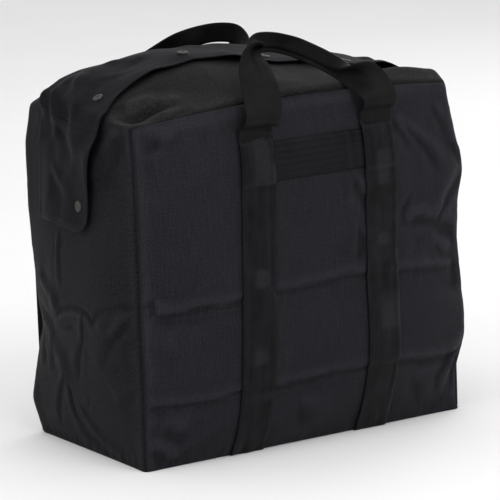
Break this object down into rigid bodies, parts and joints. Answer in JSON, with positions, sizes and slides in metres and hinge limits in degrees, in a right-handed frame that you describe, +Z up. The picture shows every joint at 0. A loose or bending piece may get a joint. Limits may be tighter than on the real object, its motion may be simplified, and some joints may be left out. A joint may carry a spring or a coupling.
{
  "type": "flight bag",
  "caption": "Soft fabric kit bag with two webbing carry handles, zipped mouth and snap-down storm flap; holds flying gear.",
  "frame": {"origin": "middle of the base, on the surface that the bag stands on", "axes": "X runs along the bag, -Y is the front that faces the viewer, +Z is up"},
  "size_m": [0.553, 0.3724, 0.5583],
  "materials": {
    "duck": "coated nylon duck weave, near-black, matt with a faint bluish sheen",
    "webbing": "tightly woven nylon webbing, near-black with a soft satin sheen",
    "gunmetal": "dull gunmetal lacquer on stamped metal",
    "zip_tape": "black woven zip tape",
    "zip_teeth": "black moulded teeth",
    "binding": "black grosgrain binding tape"
  },
  "bodies": {
    "bag": {"bottom_panel": "duck", "front_panel": "duck", "back_panel": "duck", "left_side_panel": "duck", "right_side_panel": "duck", "top_back_panel": "duck", "front_left_web": "webbing", "front_right_web": "webbing", "back_left_web": "webbing", "back_right_web": "webbing", "bottom_left_web": "webbing", "bottom_right_web": "webbing", "front_cross_band": "webbing", "back_cross_band": "webbing", "left_snap_stud": "gunmetal", "right_snap_stud": "gunmetal", "zip_rear_tape": "zip_tape", "zip_rear_teeth": "zip_teeth", "zip_left_tape": "zip_tape", "zip_left_teeth": "zip_teeth", "zip_right_tape": "zip_tape", "zip_right_teeth": "zip_teeth", "zip_stops": "gunmetal", "front_seam_binding": "binding", "back_seam_binding": "binding"},
    "mouth_front": {"top_front_panel": "duck", "zip_front_tape": "zip_tape", "zip_front_teeth": "zip_teeth", "top_snap_studs": "gunmetal"},
    "flap_over": {"top_flap": "duck", "top_snap_caps": "gunmetal", "top_snap_sockets": "gunmetal"},
    "flap_left": {"left_flap_end": "duck", "left_snap_cap": "gunmetal", "left_snap_socket": "gunmetal"},
    "flap_right": {"right_flap_end": "duck", "right_snap_cap": "gunmetal", "right_snap_socket": "gunmetal"},
    "front_handle": {"front_handle_left_leg": "webbing", "front_handle_right_leg": "webbing", "front_handle_grip": "webbing"},
    "back_handle": {"back_handle_left_leg": "webbing", "back_handle_right_leg": "webbing", "back_handle_grip": "webbing"},
    "slider": {"zip_slider": "gunmetal"},
    "pull": {"zip_pull": "gunmetal"}
  },
  "joints": [
    {"name": "mouth", "type": "hinge", "parent": "bag", "child": "mouth_front", "pos_m": [0, -0.137, 0.457], "axis": [-1, 0, 0], "range_deg": [0, 75]},
    {"name": "flap", "type": "hinge", "parent": "bag", "child": "flap_over", "pos_m": [0, 0.0675, 0.5145], "axis": [-1, 0, 0], "range_deg": [0, 95]},
    {"name": "flap_left_end", "type": "hinge", "parent": "bag", "child": "flap_left", "pos_m": [-0.27077, 0.0605, 0.28514], "axis": [-0.0796, 0, -0.9968], "range_deg": [0, 110]},
    {"name": "flap_right_end", "type": "hinge", "parent": "bag", "child": "flap_right", "pos_m": [0.27077, 0.0605, 0.28514], "axis": [-0.0796, 0, 0.9968], "range_deg": [0, 110]},
    {"name": "front_handle_swing", "type": "hinge", "parent": "bag", "child": "front_handle", "pos_m": [0, -0.17355, 0.436], "axis": [1, 0, 0], "range_deg": [0, 120]},
    {"name": "back_handle_swing", "type": "hinge", "parent": "bag", "child": "back_handle", "pos_m": [0, 0.17355, 0.436], "axis": [-1, 0, 0], "range_deg": [0, 120]},
    {"name": "zip_slide", "type": "slide", "parent": "bag", "child": "slider", "axis": [-0.0796, 0, 0.9968], "range_m": [0, 0.125]},
    {"name": "pull_swing", "type": "hinge", "parent": "slider", "child": "pull", "pos_m": [0.27141, 0.018, 0.29723], "axis": [0, -1, 0], "range_deg": [0, 120]}
  ]
}
